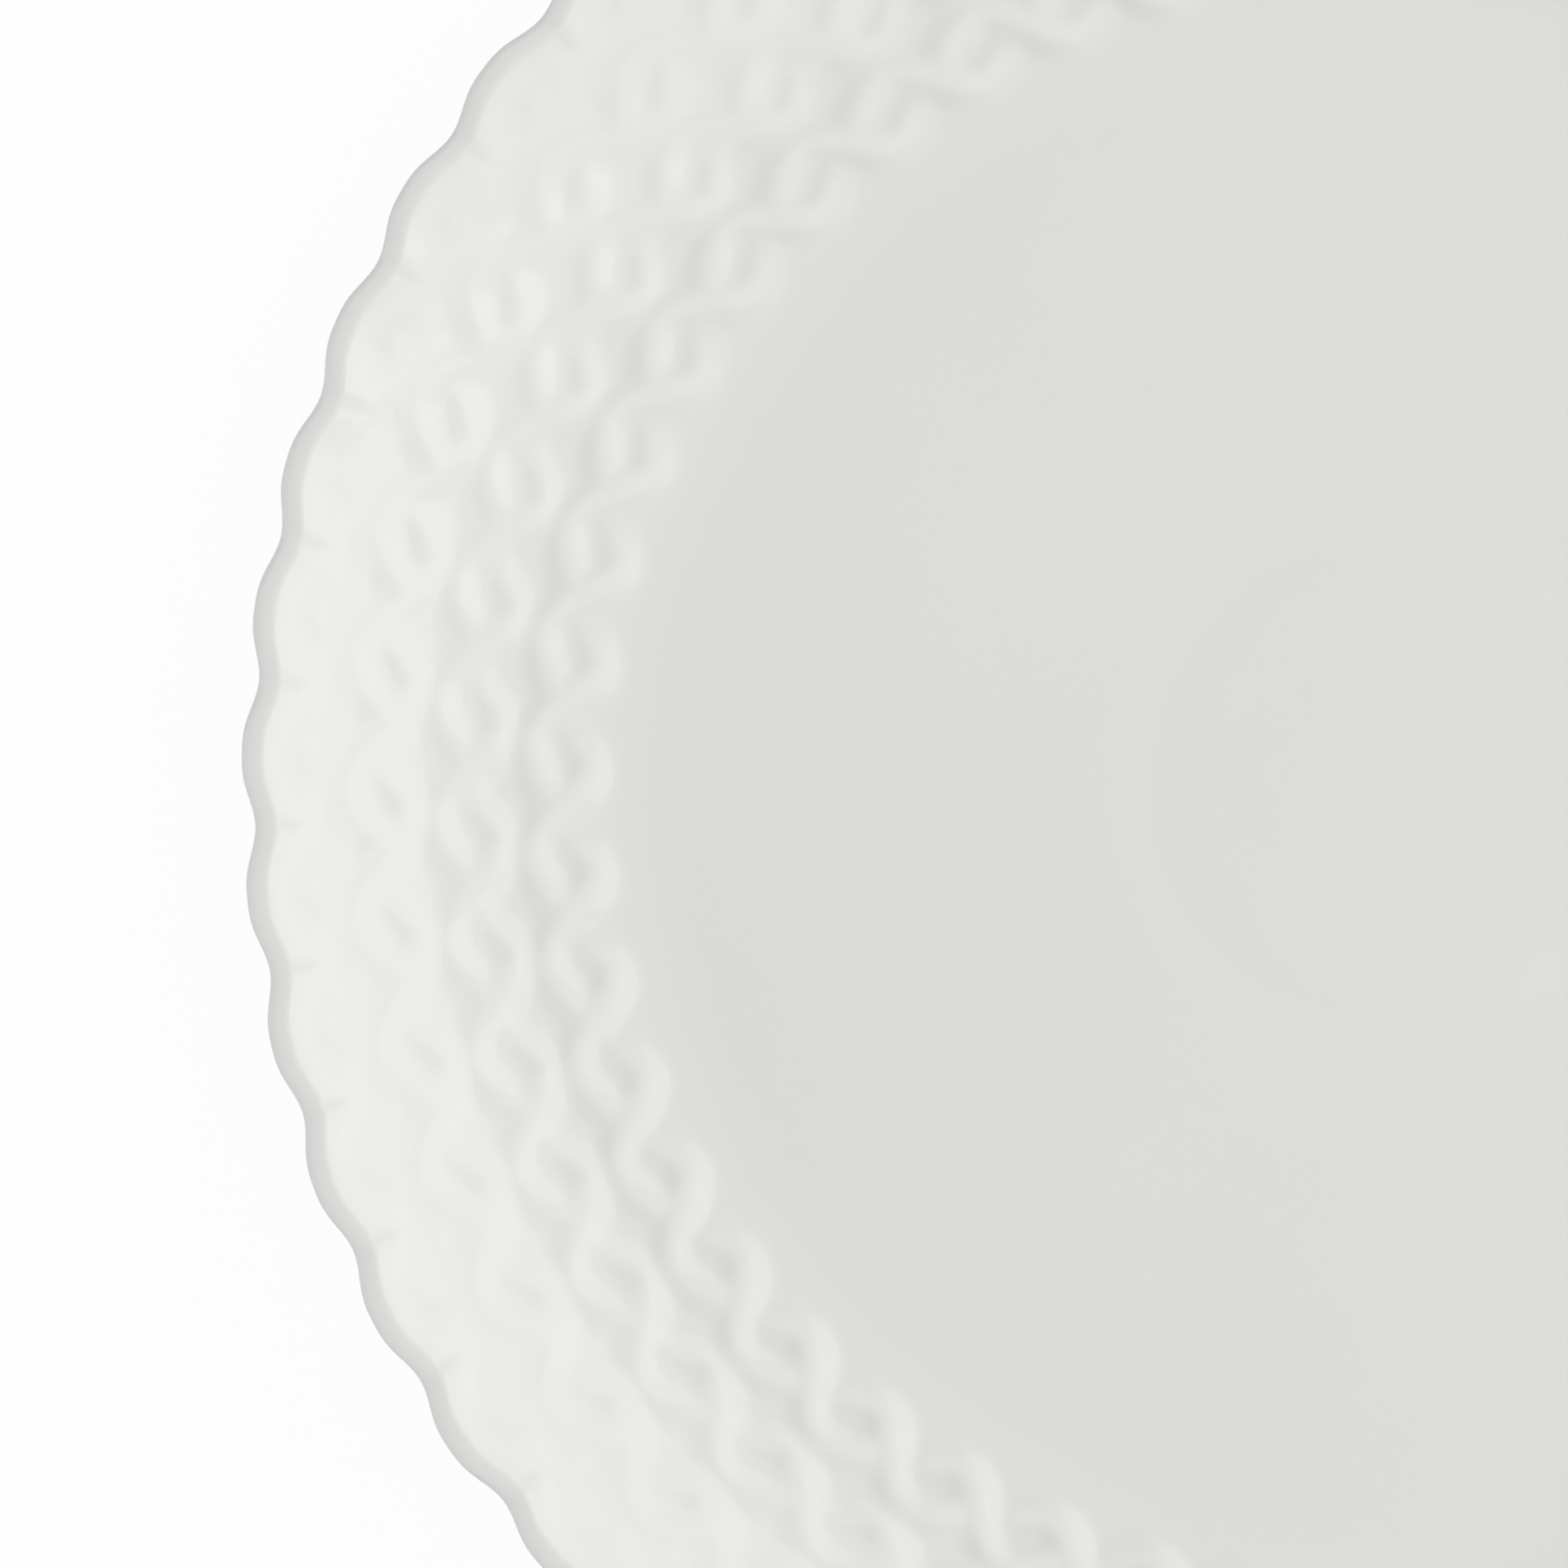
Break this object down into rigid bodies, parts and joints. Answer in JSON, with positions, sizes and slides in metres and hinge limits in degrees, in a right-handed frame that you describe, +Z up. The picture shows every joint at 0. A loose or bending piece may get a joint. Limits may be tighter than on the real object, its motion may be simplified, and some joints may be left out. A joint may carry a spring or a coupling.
{
  "type": "dinner plate",
  "caption": "Round white porcelain plate with a flat well, a rising rim covered in rows of soft running-scroll relief, a scalloped rounded lip and a foot ring.",
  "frame": {"origin": "centre of the plate, on the surface that its foot ring stands on", "axes": "+Z up, out of the well; X and Y lie across the plate"},
  "size_m": [0.27, 0.2698, 0.0236],
  "materials": {
    "white_glaze": "glossy white glaze"
  },
  "bodies": {
    "root": {"plate": "white_glaze"}
  },
  "joints": []
}
